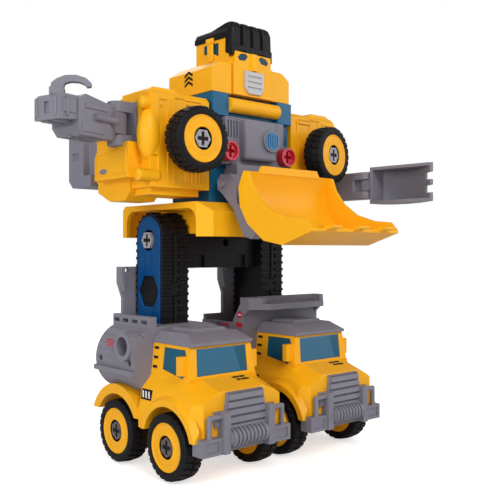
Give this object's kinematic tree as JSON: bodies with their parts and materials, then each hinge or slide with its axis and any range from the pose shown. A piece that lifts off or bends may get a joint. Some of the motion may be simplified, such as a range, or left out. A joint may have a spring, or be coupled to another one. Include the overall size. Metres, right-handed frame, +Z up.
{
  "type": "transforming robot car",
  "caption": "Take-apart toy robot built from wheeled trucks and a tracked loader, with swinging arms, digger bucket, crane hook, tipping blade and turning head.",
  "frame": {"origin": "on the ground, midway between the two trucks that are the feet", "axes": "+Z up, the robot faces -Y, its left-hand side is +X"},
  "size_m": [0.2661, 0.194, 0.2975],
  "materials": {
    "yellow_plastic": "satin moulded",
    "grey_plastic": "satin moulded",
    "black_plastic": "satin moulded",
    "blue_plastic": "satin moulded",
    "red_plastic": "gloss moulded",
    "silver_plastic": "silver paint",
    "window_plastic": "gloss moulded",
    "tyre_rubber": "soft moulded"
  },
  "bodies": {
    "frame": {"pelvis_body": "yellow_plastic", "crossbeam": "black_plastic", "hip_screws": "grey_plastic", "torso_body": "blue_plastic", "chest_plate": "grey_plastic", "chest_pegs": "red_plastic", "chest_bar": "yellow_plastic", "chest_disc": "blue_plastic"},
    "head": {"head_shell": "yellow_plastic", "head_windows": "window_plastic", "head_cap": "black_plastic", "mouth_guard": "silver_plastic"},
    "right_arm": {"right_arm_body": "yellow_plastic", "right_arm_fittings": "grey_plastic"},
    "crane_boom": {"crane_boom": "grey_plastic"},
    "crane_hook": {"crane_hook": "grey_plastic"},
    "left_arm": {"left_arm_body": "yellow_plastic", "left_arm_fittings": "grey_plastic"},
    "digger_stick": {"digger_stick": "grey_plastic"},
    "digger_bucket": {"digger_bucket": "grey_plastic"},
    "lift_arms": {"lift_arms": "grey_plastic"},
    "loader_bucket": {"loader_bucket": "yellow_plastic"},
    "right_leg": {"right_track": "black_plastic", "right_leg_panel": "blue_plastic", "tanker_cab": "yellow_plastic", "tanker_windows": "window_plastic", "tanker_roof": "grey_plastic", "tanker_bumper": "grey_plastic", "tanker_chassis": "yellow_plastic", "tanker_body": "grey_plastic", "tanker_wheel_screws": "grey_plastic"},
    "left_leg": {"left_track": "black_plastic", "left_leg_panel": "blue_plastic", "dumper_cab": "yellow_plastic", "dumper_windows": "window_plastic", "dumper_roof": "grey_plastic", "dumper_bumper": "grey_plastic", "dumper_chassis": "yellow_plastic", "dumper_body": "grey_plastic", "dumper_wheel_screws": "grey_plastic"},
    "tanker_front_outer_wheel": {"tanker_front_outer_tyre": "tyre_rubber", "tanker_front_outer_rim": "yellow_plastic"},
    "tanker_front_inner_wheel": {"tanker_front_inner_tyre": "tyre_rubber", "tanker_front_inner_rim": "yellow_plastic"},
    "tanker_rear_outer_wheel": {"tanker_rear_outer_tyre": "tyre_rubber", "tanker_rear_outer_rim": "yellow_plastic"},
    "tanker_rear_inner_wheel": {"tanker_rear_inner_tyre": "tyre_rubber", "tanker_rear_inner_rim": "yellow_plastic"},
    "dumper_front_outer_wheel": {"dumper_front_outer_tyre": "tyre_rubber", "dumper_front_outer_rim": "yellow_plastic"},
    "dumper_front_inner_wheel": {"dumper_front_inner_tyre": "tyre_rubber", "dumper_front_inner_rim": "yellow_plastic"},
    "dumper_rear_outer_wheel": {"dumper_rear_outer_tyre": "tyre_rubber", "dumper_rear_outer_rim": "yellow_plastic"},
    "dumper_rear_inner_wheel": {"dumper_rear_inner_tyre": "tyre_rubber", "dumper_rear_inner_rim": "yellow_plastic"},
    "right_shoulder_wheel": {"right_shoulder_tyre": "tyre_rubber", "right_shoulder_rim": "yellow_plastic"},
    "left_shoulder_wheel": {"left_shoulder_tyre": "tyre_rubber", "left_shoulder_rim": "yellow_plastic"}
  },
  "joints": [
    {"name": "head_turn", "type": "hinge", "parent": "frame", "child": "head", "pos_m": [0, 0.012, 0.25], "axis": [0, 0, 1], "range_deg": [-60, 60]},
    {"name": "right_shoulder_swing", "type": "hinge", "parent": "frame", "child": "right_arm", "pos_m": [-0.045, 0.004, 0.211], "axis": [-1, 0, 0], "range_deg": [-25, 90]},
    {"name": "left_shoulder_swing", "type": "hinge", "parent": "frame", "child": "left_arm", "pos_m": [0.045, 0.004, 0.211], "axis": [-1, 0, 0], "range_deg": [-25, 90]},
    {"name": "crane_boom_swing", "type": "hinge", "parent": "right_arm", "child": "crane_boom", "pos_m": [-0.095, 0.01, 0.22], "axis": [0, 0, 1], "range_deg": [-60, 30]},
    {"name": "crane_hook_turn", "type": "hinge", "parent": "crane_boom", "child": "crane_hook", "pos_m": [-0.1433, -0.00294, 0.231], "axis": [0, 0, 1], "continuous": true},
    {"name": "digger_stick_swing", "type": "hinge", "parent": "left_arm", "child": "digger_stick", "pos_m": [0.095, 0.006, 0.189], "axis": [0, 0, 1], "range_deg": [0, 100]},
    {"name": "digger_bucket_curl", "type": "hinge", "parent": "digger_stick", "child": "digger_bucket", "pos_m": [0.095, -0.036, 0.189], "axis": [0, 0, -1], "range_deg": [-15, 60]},
    {"name": "lift_arm_raise", "type": "hinge", "parent": "frame", "child": "lift_arms", "pos_m": [0, -0.018, 0.184], "axis": [-1, 0, 0], "range_deg": [0, 40]},
    {"name": "loader_bucket_tip", "type": "hinge", "parent": "lift_arms", "child": "loader_bucket", "pos_m": [0, -0.043, 0.153], "axis": [1, 0, 0], "range_deg": [0, 35]},
    {"name": "right_hip_swing", "type": "hinge", "parent": "frame", "child": "right_leg", "pos_m": [-0.0455, 0.031, 0.1474], "axis": [-1, 0, 0], "range_deg": [-30, 30]},
    {"name": "left_hip_swing", "type": "hinge", "parent": "frame", "child": "left_leg", "pos_m": [0.0455, 0.031, 0.1474], "axis": [-1, 0, 0], "range_deg": [-30, 30]},
    {"name": "tanker_front_outer_spin", "type": "hinge", "parent": "right_leg", "child": "tanker_front_outer_wheel", "pos_m": [-0.0455, -0.0263, 0.021], "axis": [1, 0, 0], "continuous": true},
    {"name": "tanker_front_inner_spin", "type": "hinge", "parent": "right_leg", "child": "tanker_front_inner_wheel", "pos_m": [-0.0455, -0.0263, 0.021], "axis": [1, 0, 0], "continuous": true},
    {"name": "tanker_rear_outer_spin", "type": "hinge", "parent": "right_leg", "child": "tanker_rear_outer_wheel", "pos_m": [-0.0455, 0.0303, 0.021], "axis": [1, 0, 0], "continuous": true},
    {"name": "tanker_rear_inner_spin", "type": "hinge", "parent": "right_leg", "child": "tanker_rear_inner_wheel", "pos_m": [-0.0455, 0.0303, 0.021], "axis": [1, 0, 0], "continuous": true},
    {"name": "dumper_front_outer_spin", "type": "hinge", "parent": "left_leg", "child": "dumper_front_outer_wheel", "pos_m": [0.0455, -0.0263, 0.021], "axis": [1, 0, 0], "continuous": true},
    {"name": "dumper_front_inner_spin", "type": "hinge", "parent": "left_leg", "child": "dumper_front_inner_wheel", "pos_m": [0.0455, -0.0263, 0.021], "axis": [1, 0, 0], "continuous": true},
    {"name": "dumper_rear_outer_spin", "type": "hinge", "parent": "left_leg", "child": "dumper_rear_outer_wheel", "pos_m": [0.0455, 0.0303, 0.021], "axis": [1, 0, 0], "continuous": true},
    {"name": "dumper_rear_inner_spin", "type": "hinge", "parent": "left_leg", "child": "dumper_rear_inner_wheel", "pos_m": [0.0455, 0.0303, 0.021], "axis": [1, 0, 0], "continuous": true},
    {"name": "right_shoulder_wheel_spin", "type": "hinge", "parent": "right_arm", "child": "right_shoulder_wheel", "pos_m": [-0.0594, -0.025, 0.21], "axis": [0, -1, 0], "continuous": true},
    {"name": "left_shoulder_wheel_spin", "type": "hinge", "parent": "left_arm", "child": "left_shoulder_wheel", "pos_m": [0.06262, -0.03235, 0.21], "axis": [0.1564, -0.9877, 0], "continuous": true}
  ]
}
